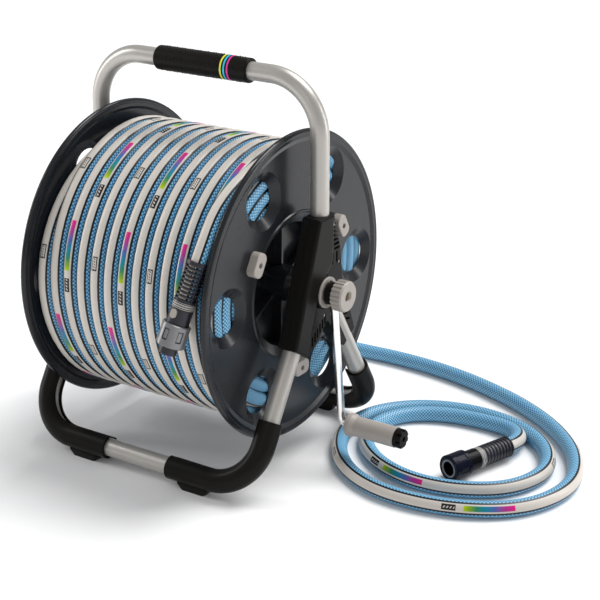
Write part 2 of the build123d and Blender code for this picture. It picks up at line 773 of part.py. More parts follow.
# ---------------------------------------------------------------- feed hose
on_floor = hose_r - axle_height          # hose centre when it lies on the floor, from the axle
coupler_rise = collar_r + 0.1 - axle_height
feed_start = outlet_dir * inlet_spigot
feed_route = [
    at(-190.0, feed_start.Y, feed_start.Z),
    at(-190.0, outlet_dir.Y * 70.0, outlet_dir.Z * 70.0),
    at(-191.0, 72.0, -94.0),
    at(-192.0, 106.0, -138.0),
    at(-189.0, 150.0, -176.0),
    at(-174.0, 201.0, on_floor),
    at(-135.0, 244.0, on_floor),
    at(-82.0, 270.0, on_floor),
    at(-24.0, 279.0, on_floor),
    at(36.0, 281.0, on_floor),
    at(98.0, 286.0, on_floor),
    at(166.0, 281.0, on_floor),
    at(233.0, 264.0, on_floor),
    at(301.0, 236.0, on_floor),
    at(361.0, 194.0, on_floor),
    at(404.0, 141.0, on_floor),
    at(423.0, 76.0, on_floor),
    at(400.0, 10.0, on_floor),
    at(338.0, -30.0, on_floor),
    at(264.0, -41.0, on_floor),
    at(206.0, -22.0, on_floor),
    at(163.0, 20.0, on_floor),
    at(140.0, 76.0, on_floor),
    at(147.0, 130.0, on_floor),
    at(187.0, 175.0, on_floor),
    at(246.0, 195.0, on_floor),
    at(310.0, 188.0, on_floor),
    at(362.0, 153.0, on_floor),
    at(386.0, 99.0, on_floor),
    at(369.0, 42.0, on_floor),
    at(320.0, 9.0, on_floor),
    at(264.0, 2.0, on_floor),
    at(210.0, 22.0, on_floor),
    at(171.0, 64.0, on_floor),
    at(164.0, 110.0, on_floor),
    at(186.0, 150.0, on_floor),
    at(224.0, 171.0, on_floor),
    at(262.0, 177.0, on_floor),
    at(297.0, 176.5, on_floor + 0.4),
    at(316.0, 167.0, on_floor + 1.8),
    at(326.5, 151.0, on_floor + 4.2),
    at(329.0, 131.8, coupler_rise),
    at(322.3, 113.0, coupler_rise),
]
feed_radii = corner_radii(feed_route)
print("feed hose radii", [round(r) for r in feed_radii])
with BuildPart() as feed_hose:
    with BuildLine() as feed_path:
        FilletPolyline(*feed_route, radius=feed_radii)
    with BuildSketch(Plane(origin=feed_path.line @ 0, z_dir=feed_path.line % 0)):
        Circle(hose_r)
    sweep(path=feed_path.line)
feed_length = sum(edge.length for edge in feed_path.edges())
print("feed hose length", round(feed_length))
print("feed hose volume ratio", feed_hose.part.volume / (pi * hose_r**2 * feed_length))
save("feed_hose", feed_hose)

# ---------------------------------------------------------------- couplings
feed_dir = (feed_route[-1] - feed_route[-2]).normalized()
feed_relief_start = feed_route[-1] - feed_dir * hose_insert
coupler_gap = 1.0                        # room left behind the collar at the end of its travel
core_sleeve_r = coupler_r - 1.5
shoulder_l = 3.0                         # how far the wide part reaches under the collar
collar_rim = 0.9
window_start = 5.0                       # the recessed windows around a collar
window_l = 12.0
window_count = 6


def coupling_plane(start, direction):
    """A plane at the hose end of a coupling, looking along it."""
    return Plane(origin=start, x_dir=direction.cross(Vector(0, 0, 1)).normalized(), z_dir=direction)


for name, start, direction, socket in (
    ("nozzle", nozzle_start, nozzle_dir, False),
    ("feed", feed_relief_start, feed_dir, True),
):
    base = coupling_plane(start, direction)
    collar_back = relief_l + coupler_l
    collar_front = collar_back + collar_l
    step = collar_back + shoulder_l + collar_travel + coupler_gap
    with BuildPart() as relief:
        with BuildSketch(base):
            Circle(relief_r - relief_taper)
        with BuildSketch(base.offset(relief_l)):
            Circle(relief_r)
        loft()
        with BuildSketch(base):
            Circle(hose_r + clearance)
        extrude(amount=hose_insert + 1.0, mode=Mode.SUBTRACT)
    save(f"{name}_relief", relief)

    with BuildPart() as coupler:
        with BuildSketch(base.offset(relief_l)):
            Circle(coupler_r)
        extrude(amount=coupler_l + shoulder_l)
        with BuildSketch(base.offset(collar_back + shoulder_l)):
            Circle(core_sleeve_r)
        extrude(amount=collar_l - shoulder_l)
        if socket:
            with BuildSketch(base.offset(collar_front - mouth_depth)):
                Circle(mouth_r)
            extrude(amount=mouth_depth, mode=Mode.SUBTRACT)
    save(f"{name}_coupler", coupler)

    with BuildPart() as collar:
        with BuildSketch(base.offset(collar_back)):
            Circle(collar_r)
            Circle(coupler_r + free_gap, mode=Mode.SUBTRACT)
        extrude(amount=step - collar_back)
        with BuildSketch(base.offset(step)):
            Circle(collar_r)
            Circle(core_sleeve_r + free_gap, mode=Mode.SUBTRACT)
        extrude(amount=collar_front - step)
        collar_rims = collar.edges().filter_by(lambda e: e.length > 2 * pi * (collar_r - 0.5))
        chamfer(collar_rims, length=collar_rim)
        with BuildSketch(base.offset(collar_back + window_start)):
            with PolarLocations(collar_r + 0.4, window_count):
                Rectangle(2.4, 6.0)
        extrude(amount=window_l, mode=Mode.SUBTRACT)
    save(f"{name}_collar", collar)

with BuildPart() as nozzle_tip:
    tip_plane = coupling_plane(nozzle_start, nozzle_dir).offset(relief_l + coupler_l + collar_l)
    with BuildSketch(tip_plane):
        Circle(tip_r)
        Circle(tip_r - 3.5, mode=Mode.SUBTRACT)
    extrude(amount=tip_l)
    chamfer(nozzle_tip.edges().filter_by(lambda e: e.length > 2 * pi * (tip_r - 0.5)), length=0.8)
save("nozzle_tip", nozzle_tip)

# the oval pad on top of the nozzle body, facing away from the drum
outward = Vector(0, cos(touch), sin(touch))
oval_l = coupler_l - collar_travel - 1.2
pad_centre = nozzle_start + nozzle_dir * (relief_l + 0.4 + oval_l / 2) + outward * (coupler_r - 0.6)
with BuildPart() as nozzle_pad:
    with BuildSketch(Plane(origin=pad_centre, x_dir=nozzle_dir, z_dir=outward)):
        SlotOverall(oval_l, 7.0)
    extrude(amount=1.8)
save("nozzle_pad", nozzle_pad)
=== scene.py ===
"""Garden hose reel on a bent-tube stand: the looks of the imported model, in metres, +Z up."""

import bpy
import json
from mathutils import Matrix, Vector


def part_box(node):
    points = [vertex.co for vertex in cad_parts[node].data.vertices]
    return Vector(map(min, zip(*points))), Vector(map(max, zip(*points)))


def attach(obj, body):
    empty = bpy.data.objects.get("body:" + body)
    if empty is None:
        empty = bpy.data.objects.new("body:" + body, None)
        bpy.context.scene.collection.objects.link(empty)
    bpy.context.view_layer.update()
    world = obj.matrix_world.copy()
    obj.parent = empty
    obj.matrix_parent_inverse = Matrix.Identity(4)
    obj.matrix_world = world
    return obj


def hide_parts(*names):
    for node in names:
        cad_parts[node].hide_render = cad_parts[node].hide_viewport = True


bl_info = {
    "name": "Garden Hose Reel",
    "version": (1, 0, 0),
    "blender": (4, 5, 0),
    "location": "3D View > Sidebar > Hose Reel",
    "description": "Winds the hose, lays the feed hose and finishes every part of a garden hose reel",
    "category": "Object",
}

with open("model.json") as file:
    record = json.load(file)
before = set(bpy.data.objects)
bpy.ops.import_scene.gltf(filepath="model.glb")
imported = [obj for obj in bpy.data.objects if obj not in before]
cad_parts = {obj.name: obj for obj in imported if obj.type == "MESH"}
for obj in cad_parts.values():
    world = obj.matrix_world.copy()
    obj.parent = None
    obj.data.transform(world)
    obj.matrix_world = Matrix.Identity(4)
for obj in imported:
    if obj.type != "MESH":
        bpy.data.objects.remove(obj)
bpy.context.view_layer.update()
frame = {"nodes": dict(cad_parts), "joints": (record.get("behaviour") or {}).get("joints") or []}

import json
import math

import bmesh
import bpy
import numpy as np
from bpy.props import FloatProperty, FloatVectorProperty, IntProperty, PointerProperty
from mathutils import Vector

NODES = frame["nodes"]
JOINTS = {joint["name"]: joint for joint in frame["joints"]}
AXLE = Vector(JOINTS["drum_spin"]["pos_m"])
NOZZLE_WAY = -Vector(JOINTS["nozzle_collar_slide"]["axis"])
FEED_WAY = -Vector(JOINTS["feed_collar_slide"]["axis"])
X_AXIS = Vector((1.0, 0.0, 0.0))
DULL = {"Specular IOR Level": 0.16, "IOR": 1.32}         # the weak gloss of the black mouldings
BUMP_DEPTH = 0.0002                                      # of moulded and painted grain
FULL_TURN = 360.0


# ------------------------------------------------------------------ settings
class HoseSettings(bpy.types.PropertyGroup):
    """Sizes and colours of the hose."""

    diameter: FloatProperty(name="Diameter", description="Outside of the hose", default=0.018, unit="LENGTH")
    pitch: FloatProperty(
        name="Pitch", description="From turn to turn in a layer", default=0.0184, unit="LENGTH"
    )
    layers: IntProperty(name="Layers", description="Layers of hose on the drum", default=5, min=1)
    layer_rise: FloatProperty(
        name="Layer Rise", description="From one layer's centre to the next", default=0.0155, unit="LENGTH"
    )
    last_radius: FloatProperty(
        name="Last Layer", description="Centre radius of the outermost layer", default=0.1465, unit="LENGTH"
    )
    reach: FloatProperty(
        name="Reach", description="How far a layer goes from the middle", default=0.108, unit="LENGTH"
    )
    inner_reach: FloatProperty(
        name="Inner Reach",
        description="How near the crank-side flange the lower layers go",
        default=0.1045,
        unit="LENGTH",
    )
    print_repeat: FloatProperty(
        name="Print Repeat", description="Length after which the print repeats", default=0.409, unit="LENGTH"
    )
    mesh_blue: FloatVectorProperty(
        name="Mesh", description="Woven mesh", subtype="COLOR", default=(0.0, 0.17, 0.42)
    )
    mesh_pale: FloatVectorProperty(
        name="Mesh Gaps",
        description="Ground between the threads",
        subtype="COLOR",
        default=(0.30, 0.55, 0.67),
    )
    stripe: FloatVectorProperty(
        name="Stripe", description="Pale stripe along the hose", subtype="COLOR", default=(0.60, 0.56, 0.51)
    )


class FinishSettings(bpy.types.PropertyGroup):
    """Colours of the stand, the drum and the fittings."""

    tube: FloatVectorProperty(
        name="Tube", description="Silver paint of the tubes", subtype="COLOR", default=(0.47, 0.45, 0.42)
    )
    black: FloatVectorProperty(
        name="Black", description="Black mouldings", subtype="COLOR", default=(0.0095, 0.0088, 0.0080)
    )
    drum: FloatVectorProperty(
        name="Drum",
        description="Glossy mouldings of the drum",
        subtype="COLOR",
        default=(0.0115, 0.0125, 0.0155),
    )
    grey: FloatVectorProperty(
        name="Grey", description="Warm grey mouldings", subtype="COLOR", default=(0.37, 0.335, 0.305)
    )


class StageSettings(bpy.types.PropertyGroup):
    """Camera, floor and light."""

    camera_place: FloatVectorProperty(
        name="Camera",
        description="Where the camera stands",
        subtype="TRANSLATION",
        default=(0.9655, -1.3319, 0.8100),
    )
    camera_turn: FloatVectorProperty(
        name="Turn",
        description="Which way the camera looks",
        subtype="EULER",
        default=(math.radians(68.67), 0.0, math.radians(33.03)),
    )
    lens: FloatProperty(name="Lens", description="Focal length in millimetres", default=93.9)
    floor: FloatVectorProperty(
        name="Floor", description="Pale floor", subtype="COLOR", default=(0.93, 0.93, 0.935)
    )


# ------------------------------------------------------------------ shader helpers
class Graph:
    """Adds nodes to a tree and links them; a value may be a number, a colour or another node's socket."""

    def __init__(self, tree):
        self.tree = tree

    def put(self, socket, value):
        """Give a socket a value, or link another socket to it."""
        if isinstance(value, bpy.types.NodeSocket):
            self.tree.links.new(value, socket)
        elif socket.type == "RGBA":
            socket.default_value = (*tuple(value)[:3], 1.0)
        else:
            socket.default_value = value

    def add(self, kind, values=(), **settings):
        """A node with its settings; values maps an input's name or index to its value."""
        made = self.tree.nodes.new(kind)
        for key, setting in settings.items():
            setattr(made, key, setting)
        for key, value in dict(values).items():
            self.put(made.inputs[key], value)
        return made

    def math(self, operation, *values, clamp=False):
        """A Math node's result."""
        made = self.add("ShaderNodeMath", enumerate(values), operation=operation)
        made.use_clamp = clamp
        return made.outputs[0]

    def inside(self, value, low, high, soft):
        """1 where value lies between low and high, with soft edges."""
        span = {"Value": value, "From Min": low - soft, "From Max": low + soft}
        rise = self.add("ShaderNodeMapRange", span, interpolation_type="SMOOTHSTEP").outputs[0]
        span = {"Value": value, "From Min": high - soft, "From Max": high + soft}
        span.update({"To Min": 1.0, "To Max": 0.0})
        fall = self.add("ShaderNodeMapRange", span, interpolation_type="SMOOTHSTEP").outputs[0]
        return self.math("MULTIPLY", rise, fall)

    def mix(self, factor, first, second):
        """A colour between first and second."""
        made = self.tree.nodes.new("ShaderNodeMix")
        made.data_type = "RGBA"
        self.put(made.inputs["Factor"], factor)
        self.put(made.inputs[6], first)
        self.put(made.inputs[7], second)
        return made.outputs[2]

    def noise(self, vector, scale, detail=2.0):
        """A noise texture's value."""
        values = {"Vector": vector, "Scale": scale, "Detail": detail}
        return self.add("ShaderNodeTexNoise", values).outputs[0]


def new_group(name, inputs, outputs):
    """An empty shader node group; inputs and outputs are lists of (name, socket type, default)."""
    group = bpy.data.node_groups.new(name, "ShaderNodeTree")
    for way, sockets in (("INPUT", inputs), ("OUTPUT", outputs)):
        for label, kind, default in sockets:
            socket = group.interface.new_socket(name=label, in_out=way, socket_type=kind)
            if default is not None:
                socket.default_value = default
    graph = Graph(group)
    return group, graph, graph.add("NodeGroupInput"), graph.add("NodeGroupOutput")


def grain_group():
    """Fine moulded or painted grain: a height for Bump and a slow mottle between 0 and 1."""
    if "surface_grain" in bpy.data.node_groups:
        return bpy.data.node_groups["surface_grain"]
    inputs = [("Vector", "NodeSocketVector", None), ("Scale", "NodeSocketFloat", 2200.0)]
    outputs = [("Height", "NodeSocketFloat", None), ("Mottle", "NodeSocketFloat", None)]
    group, graph, source, result = new_group("surface_grain", inputs, outputs)
    fine = graph.noise(source.outputs["Vector"], source.outputs["Scale"], 3.0)
    slow = graph.noise(source.outputs["Vector"], 26.0, 3.0)
    graph.put(result.inputs["Height"], fine)
    graph.put(result.inputs["Mottle"], slow)
    return group


def new_material(name, values):
    """A material whose Principled shader takes the values given; returns it, its graph and its shader."""
    material = bpy.data.materials.new(name)
    material.use_nodes = True
    graph = Graph(material.node_tree)
    shader = material.node_tree.nodes["Principled BSDF"]
    for key, value in values.items():
        graph.put(shader.inputs[key], value)
    return material, graph, shader


def moulded(name, color, rough, grain=0.12, grain_scale=2200.0, shade=0.12, rough_spread=0.08, **more):
    """A material with grain in its bump and slow changes of colour and gloss."""
    if name in bpy.data.materials:
        return bpy.data.materials[name]
    material, graph, shader = new_material(name, more)
    place = graph.add("ShaderNodeTexCoord").outputs["Object"]
    group = graph.add("ShaderNodeGroup", node_tree=grain_group())
    graph.put(group.inputs["Vector"], place)
    graph.put(group.inputs["Scale"], grain_scale)
    dark = tuple(channel * (1.0 - shade) for channel in color)
    light = tuple(min(1.0, channel * (1.0 + shade)) for channel in color)
    graph.put(shader.inputs["Base Color"], graph.mix(group.outputs["Mottle"], dark, light))
    mottle = group.outputs["Mottle"]
    spread = {"Value": mottle, "To Min": rough - rough_spread, "To Max": rough + rough_spread}
    graph.put(shader.inputs["Roughness"], graph.add("ShaderNodeMapRange", spread).outputs[0])
    bump = {"Strength": grain, "Distance": BUMP_DEPTH, "Height": group.outputs["Height"]}
    graph.put(shader.inputs["Normal"], graph.add("ShaderNodeBump", bump).outputs[0])
    return material


def hose_material():
    """Woven blue mesh under a clear skin, a pale stripe with black lines, and a print that repeats along it.

    The UV's first value is the length along the hose in metres, and its second is the angle round it, in
    turns, with the stripe's middle at a half.
    """
    if "hose_skin" in bpy.data.materials:
        return bpy.data.materials["hose_skin"]
    sizes = bpy.context.scene.hose
    skin = {"Coat Weight": 0.12, "Coat Roughness": 0.2, "Specular IOR Level": 0.3}
    material, graph, shader = new_material("hose_skin", skin)
    uv = graph.add("ShaderNodeUVMap", uv_map="hose").outputs[0]
    parts = graph.add("ShaderNodeSeparateXYZ", {0: uv})
    along, around = parts.outputs[0], parts.outputs[1]

    threads_round = 14
    cell = math.pi * sizes.diameter / threads_round
    wave_along = graph.math("COSINE", graph.math("MULTIPLY", along, 2 * math.pi / cell))
    wave_round = graph.math("COSINE", graph.math("MULTIPLY", around, 2 * math.pi * threads_round))
    weave = graph.math("MULTIPLY", wave_along, wave_round)
    dots = {"Value": weave, "From Min": -0.30, "From Max": 0.25}
    dots = graph.add("ShaderNodeMapRange", dots, interpolation_type="SMOOTHSTEP").outputs[0]
    ground = graph.mix(dots, sizes.mesh_pale, sizes.mesh_blue)

    off_middle = graph.math("ABSOLUTE", graph.math("SUBTRACT", around, 0.5))
    stripe_half = 31.0 / FULL_TURN
    line_end = 46.0 / FULL_TURN
    soft = 0.0035
    line_ink = (0.004, 0.004, 0.005)
    stripe = graph.inside(off_middle, -1.0, stripe_half, soft)
    lines = graph.inside(off_middle, stripe_half, line_end, soft)
    colour = graph.mix(stripe, ground, sizes.stripe)
    colour = graph.mix(lines, colour, line_ink)

    repeat = graph.math("FRACT", graph.math("DIVIDE", along, sizes.print_repeat))
    length = graph.math("MULTIPLY", repeat, sizes.print_repeat)
    bar_length = 0.052
    bar_half = 19.0 / FULL_TURN
    bar_edge = 0.0004
    bar = graph.inside(length, bar_edge, bar_length, bar_edge)
    bar = graph.math("MULTIPLY", bar, graph.inside(off_middle, -1.0, bar_half, soft))
    ramp = graph.add("ShaderNodeValToRGB", {0: graph.math("DIVIDE", length, bar_length)})
    rainbow = [
        (0.0, (0.72, 0.0, 0.20)),
        (0.2, (0.40, 0.03, 0.25)),
        (0.4, (0.06, 0.12, 0.38)),
        (0.58, (0.0, 0.22, 0.34)),
        (0.76, (0.02, 0.22, 0.10)),
        (0.9, (0.22, 0.38, 0.0)),
        (1.0, (0.42, 0.56, 0.0)),
    ]
    steps = ramp.color_ramp.elements
    while len(steps) < len(rainbow):
        steps.new(0.5)
    for step, (place, tint) in zip(steps, rainbow):
        step.position = place
        step.color = (*tint, 1.0)
    colour = graph.mix(bar, colour, ramp.outputs[0])

    box_half = 21.0 / FULL_TURN
    box_length, box_rim, box_edge = 0.0145, 0.0012, 0.0003
    core_share = 0.66                        # of the box's width, inside its rim
    lean = 0.03                              # metres along the hose for each turn round it
    ink = (0.006, 0.006, 0.007)
    boxes = ((0.060, True, 0.0034, 0.36), (0.236, False, 0.0026, 0.30))
    for start, filled, bar_pitch, bar_share in boxes:
        end = start + box_length
        box = graph.inside(length, start, end, box_edge)
        box = graph.math("MULTIPLY", box, graph.inside(off_middle, -1.0, box_half, soft))
        core = graph.inside(length, start + box_rim, end - box_rim, box_edge)
        core = graph.math("MULTIPLY", core, graph.inside(off_middle, -1.0, box_half * core_share, soft))
        slant = graph.math("MULTIPLY_ADD", around, lean, length)
        bars = graph.math("FRACT", graph.math("DIVIDE", slant, bar_pitch))
        bars = graph.inside(bars, 0.28, 0.72, 0.08)
        short = graph.inside(off_middle, -1.0, box_half * bar_share, soft)
        marks = graph.math("MULTIPLY", bars, short)
        rim = graph.math("SUBTRACT", box, core, clamp=True)
        if filled:
            dark = graph.math("SUBTRACT", box, graph.math("MULTIPLY", core, marks), clamp=True)
        else:
            dark = graph.math("MAXIMUM", rim, graph.math("MULTIPLY", core, marks))
        colour = graph.mix(dark, colour, ink)

    graph.put(shader.inputs["Base Color"], colour)
    plain = graph.math("ADD", stripe, lines, clamp=True)
    rough = {"Value": plain, "To Min": 0.42, "To Max": 0.34}
    graph.put(shader.inputs["Roughness"], graph.add("ShaderNodeMapRange", rough).outputs[0])
    height = graph.math("MULTIPLY", dots, graph.math("SUBTRACT", 1.0, plain, clamp=True))
    bump = {"Strength": 0.25, "Distance": 0.0003, "Height": height}
    graph.put(shader.inputs["Normal"], graph.add("ShaderNodeBump", bump).outputs[0])
    return material


# ------------------------------------------------------------------ mesh helpers
def link(name, mesh, material, body):
    """Put a mesh in the scene as a finished piece that moves with a body."""
    piece = bpy.data.objects.new(name, mesh)
    bpy.context.scene.collection.objects.link(piece)
    mesh.materials.append(material)
    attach(piece, body)
    return piece


def smooth(mesh):
    """Shade a mesh smooth."""
    mesh.polygons.foreach_set("use_smooth", [True] * len(mesh.polygons))
    mesh.update()


def route_line(points, steps):
    """Points along the smooth line that a route controls."""
    curve = bpy.data.curves.new("route", "CURVE")
    curve.dimensions = "3D"
    spline = curve.splines.new("NURBS")
    spline.points.add(len(points) - 1)
    for control, place in zip(spline.points, points):
        control.co = (*place, 1.0)
    spline.order_u = 3
    spline.use_endpoint_u = True
    spline.resolution_u = steps
    curve.resolution_u = steps
    holder = bpy.data.objects.new("route", curve)
    line = bpy.data.meshes.new_from_object(holder)
    found = np.array([vertex.co for vertex in line.vertices], float)
    bpy.data.objects.remove(holder)
    bpy.data.curves.remove(curve)
    bpy.data.meshes.remove(line)
    return found


def tube_mesh(name, line, facing, radius, sides, shift):
    """A tube round a line whose UV follows it: facing gives, at each point, the way the stripe looks."""
    ahead = np.gradient(line, axis=0)
    ahead /= np.linalg.norm(ahead, axis=1)[:, None]
    face = facing - np.sum(facing * ahead, axis=1)[:, None] * ahead
    face /= np.linalg.norm(face, axis=1)[:, None]
    side = np.cross(ahead, face)
    steps = np.linalg.norm(np.diff(line, axis=0), axis=1)
    length = np.concatenate([[0.0], np.cumsum(steps)])
    turn = 2 * math.pi * (np.arange(sides) / sides - 0.5)
    rings = (
        line[:, None, :]
        + radius * np.cos(turn)[None, :, None] * face[:, None, :]
        + radius * np.sin(turn)[None, :, None] * side[:, None, :]
    )
    count = len(line)
    corner = np.arange(count - 1)[:, None] * sides + np.arange(sides)[None, :]
    after = np.arange(count - 1)[:, None] * sides + (np.arange(sides)[None, :] + 1) % sides
    quads = np.stack([corner, after, after + sides, corner + sides], axis=-1).reshape(-1, 4)
    caps = [list(range(sides)), [(count - 1) * sides + step for step in reversed(range(sides))]]
    mesh = bpy.data.meshes.new(name)
    mesh.from_pydata(rings.reshape(-1, 3).tolist(), [], quads.tolist() + caps)
    layer = mesh.uv_layers.new(name="hose")
    start = np.repeat(length[:-1] + shift, sides)
    end = np.repeat(length[1:] + shift, sides)
    low = np.tile(np.arange(sides) / sides, count - 1)
    high = low + 1.0 / sides
    uv = np.stack([start, low, start, high, end, high, end, low], axis=-1).reshape(-1)
    uv = np.concatenate([uv, np.zeros(2 * sides * 2)])
    layer.data.foreach_set("uv", uv.astype(np.float32))
    smooth(mesh)
    return mesh, length[-1]


def on_drum(x, radius, angle):
    """A point given from the reel's middle, at a radius and an angle in degrees about the axle."""
    turn = math.radians(angle)
    return AXLE + Vector((x, radius * math.cos(turn), radius * math.sin(turn)))


# ------------------------------------------------------------------ hose on the drum
FEED_START = Vector((0.29896, 0.12242, 0.0151))          # where the feed hose enters its coupling
NOZZLE_START = Vector((0.0781, -0.15338, 0.27564))       # where the hose enters its coupling
TAIL_TOP = 88.0                                          # the last layer ends at this angle
PIPE_TOP = 92.0                                          # and the first begins here, at the water pipe
PIPE_X = -0.070                                          # where the water pipe comes through the core
LAP_LAYERS = (1, 3)                                      # they end against the crank-side flange
TAIL = ((0.1078, 0.1480, 100.0), (0.1064, 0.1520, 112.0), (0.1050, 0.1590, 125.0), (0.1046, 0.1660, 138.0))


def winding_route(sizes):
    """Control points of the wound hose: from the water pipe up through the layers, and its end's radii."""
    per_turn = 24
    spread = 1.0 / (0.75 + 0.25 * math.cos(2 * math.pi / per_turn))     # the line runs inside its controls
    step = FULL_TURN / per_turn
    across = FULL_TURN / sizes.pitch
    rise_turn = 90.0                         # a layer climbs to the next in a quarter turn
    lap = int(FULL_TURN / step)              # a whole turn against the crank-side flange at a layer's end
    angle, x, way = TAIL_TOP, sizes.reach, 1
    backwards = []
    for layer in range(sizes.layers):
        radius = sizes.last_radius - layer * sizes.layer_rise
        last = layer == sizes.layers - 1
        target = PIPE_X if last else min(-way * sizes.reach, sizes.inner_reach)
        sweep = abs(x - target) * across
        if last:                             # ends where the water pipe comes through the core
            sweep += (angle - sweep - PIPE_TOP) % FULL_TURN
        points = round(sweep / step)
        for index in range(points):
            share = index / points
            backwards.append((x + (target - x) * share, radius, angle - sweep * share))
        angle, x, way = angle - sweep, target, -way
        against = target > 0 and layer in LAP_LAYERS
        if against:
            backwards += [(target, radius, angle - step * index) for index in range(lap)]
        if not last:
            climb = int(rise_turn / step)
            for index in range(climb):
                share = index / climb
                eased = share * share * (3 - 2 * share)
                backwards.append((x, radius - sizes.layer_rise * eased, angle - rise_turn * share))
            angle -= rise_turn
            if against:
                radius -= sizes.layer_rise
                backwards += [(target, radius, angle - step * index) for index in range(lap)]
    backwards.append((x, radius, angle))
    return [on_drum(x, radius * spread, turn) for x, radius, turn in reversed(backwards)]


def tail_route():
    """The hose's free end: off the last layer, over its neighbour and into the nozzle."""
    into_nozzle = (-0.014, 0.010, 0.046)
    return [on_drum(*place) for place in TAIL] + [NOZZLE_START + NOZZLE_WAY * along for along in into_nozzle]


class REEL_OT_wind_hose(bpy.types.Operator):
    """Wind the hose on the drum in layers, with its end in the nozzle"""

    bl_idname = "reel.wind_hose"
    bl_label = "Wind Hose"

    def execute(self, context):
        sizes = context.scene.hose
        steps, sides = 3, 16
        line = route_line(winding_route(sizes) + tail_route(), steps)
        outward = line - np.array(AXLE)
        outward[:, 0] = 0.0
        outward /= np.linalg.norm(outward, axis=1)[:, None]
        tilt = math.radians(2.0)
        facing = outward * math.cos(tilt) + np.array([math.sin(tilt), 0.0, 0.0])
        print_start = 1.0977                     # a printed bar starts this far before the hose's end
        whole = np.sum(np.linalg.norm(np.diff(line, axis=0), axis=1))
        shift = -(whole - print_start) % sizes.print_repeat
        mesh, length = tube_mesh("drum_hose", line, facing, sizes.diameter / 2, sides, shift)
        hose = link("drum_hose", mesh, hose_material(), "drum")
        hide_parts("wound_hose", "hose_tail")
        return {"FINISHED"}


# ------------------------------------------------------------------ feed hose
FLOOR_LINE = 0.009                                       # hose centre on the floor
FEED_ROUTE = [                                           # from the reel's middle, on the floor
    (-0.190, 0.0154, 0.1876),
    (-0.190, 0.0450, 0.1524),
    (-0.191, 0.072, 0.112),
    (-0.192, 0.106, 0.068),
    (-0.189, 0.150, 0.030),
    (-0.174, 0.201, FLOOR_LINE),
    (-0.135, 0.244, FLOOR_LINE),
    (-0.082, 0.270, FLOOR_LINE),
    (-0.024, 0.279, FLOOR_LINE),
    (0.036, 0.281, FLOOR_LINE),
    (0.098, 0.286, FLOOR_LINE),
    (0.166, 0.281, FLOOR_LINE),
    (0.233, 0.264, FLOOR_LINE),
    (0.301, 0.236, FLOOR_LINE),
    (0.361, 0.194, FLOOR_LINE),
    (0.404, 0.141, FLOOR_LINE),
    (0.423, 0.076, FLOOR_LINE),
    (0.400, 0.010, FLOOR_LINE),
    (0.338, -0.030, FLOOR_LINE),
    (0.264, -0.041, FLOOR_LINE),
    (0.206, -0.022, FLOOR_LINE),
    (0.163, 0.020, FLOOR_LINE),
    (0.140, 0.076, FLOOR_LINE),
    (0.147, 0.130, FLOOR_LINE),
    (0.187, 0.175, FLOOR_LINE),
    (0.246, 0.195, FLOOR_LINE),
    (0.310, 0.188, FLOOR_LINE),
    (0.362, 0.153, FLOOR_LINE),
    (0.386, 0.099, FLOOR_LINE),
    (0.369, 0.042, FLOOR_LINE),
    (0.320, 0.009, FLOOR_LINE),
    (0.264, 0.002, FLOOR_LINE),
    (0.210, 0.022, FLOOR_LINE),
    (0.171, 0.064, FLOOR_LINE),
    (0.164, 0.110, FLOOR_LINE),
    (0.186, 0.150, FLOOR_LINE),
    (0.224, 0.171, FLOOR_LINE),
    (0.262, 0.177, FLOOR_LINE),
    (0.297, 0.1765, 0.0094),
    (0.316, 0.167, 0.0108),
    (0.3265, 0.151, 0.0132),
    (0.329, 0.1318, 0.0151),
    (0.3223, 0.1130, 0.0151),
]


class REEL_OT_lay_feed_hose(bpy.types.Operator):
    """Lay the feed hose from the inlet round the floor to its tap connector"""

    bl_idname = "reel.lay_feed_hose"
    bl_label = "Lay Feed Hose"

    def execute(self, context):
        sizes = context.scene.hose
        steps, sides = 12, 24
        print_start = 0.173                      # puts a printed bar on the front of the loop
        line = route_line([Vector((AXLE.x, 0, 0)) + Vector(point) for point in FEED_ROUTE], steps)
        ahead = np.gradient(line, axis=0)
        ahead /= np.linalg.norm(ahead, axis=1)[:, None]
        up = np.array([0.0, 0.0, 1.0])
        outside = np.cross(up, ahead)
        outside /= np.linalg.norm(outside, axis=1)[:, None]
        lift = math.radians(28.0)
        facing = outside * math.cos(lift) + up * math.sin(lift)
        mesh, length = tube_mesh("feed_hose_line", line, facing, sizes.diameter / 2, sides, print_start)
        hose = link("feed_hose_line", mesh, hose_material(), "frame")
        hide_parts("feed_hose")
        return {"FINISHED"}


# ------------------------------------------------------------------ couplings
RELIEF_LENGTH = 0.050
BAND_START = 0.0425                                      # the pale band round a relief's far end
BAND_END = 0.0490
BAND_RADII = (0.0100, 0.0117)
SLEEVE_BORE = 0.0092                                     # radius inside the cage and the sleeve
CUFF_RADIUS = 0.0116                                     # of the cage's far cuff
MOUTH_START = 0.0895                                     # the grey ring at the tap connector's mouth


